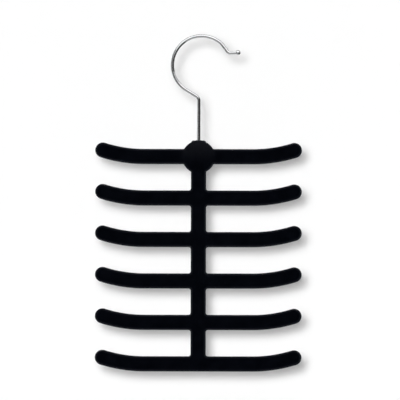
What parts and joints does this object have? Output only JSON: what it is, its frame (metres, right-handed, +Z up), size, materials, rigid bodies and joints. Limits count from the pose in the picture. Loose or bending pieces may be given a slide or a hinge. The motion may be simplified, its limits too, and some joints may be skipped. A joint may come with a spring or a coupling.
{
  "type": "tie hanger",
  "caption": "Slim flocked tie hanger: a flat spine with upswept crossbars under a domed round head, turning on a chromed wire hook with a ball tip.",
  "frame": {"origin": "on the swivel axis, under the top of the hook where the closet rail bears", "axes": "+X to the right and +Z up with the front seen, -Y out of the front; the crossbars run along X and the swivel axis is Z"},
  "size_m": [0.21, 0.013, 0.3431],
  "materials": {
    "flocked_plastic": "matte",
    "bush_plastic": "satin",
    "plain_steel": "satin",
    "chromed_wire": "polished"
  },
  "bodies": {
    "hook": {"hook_wire": "chromed_wire", "hook_tip": "chromed_wire", "thrust_washer": "plain_steel", "retaining_clip": "plain_steel"},
    "hanger": {"front_half": "flocked_plastic", "rear_half": "flocked_plastic", "shank_bush": "bush_plastic"}
  },
  "joints": [
    {"name": "swivel", "type": "hinge", "parent": "hook", "child": "hanger", "pos_m": [0, 0, -0.10481], "axis": [0, 0, 1], "continuous": true}
  ]
}
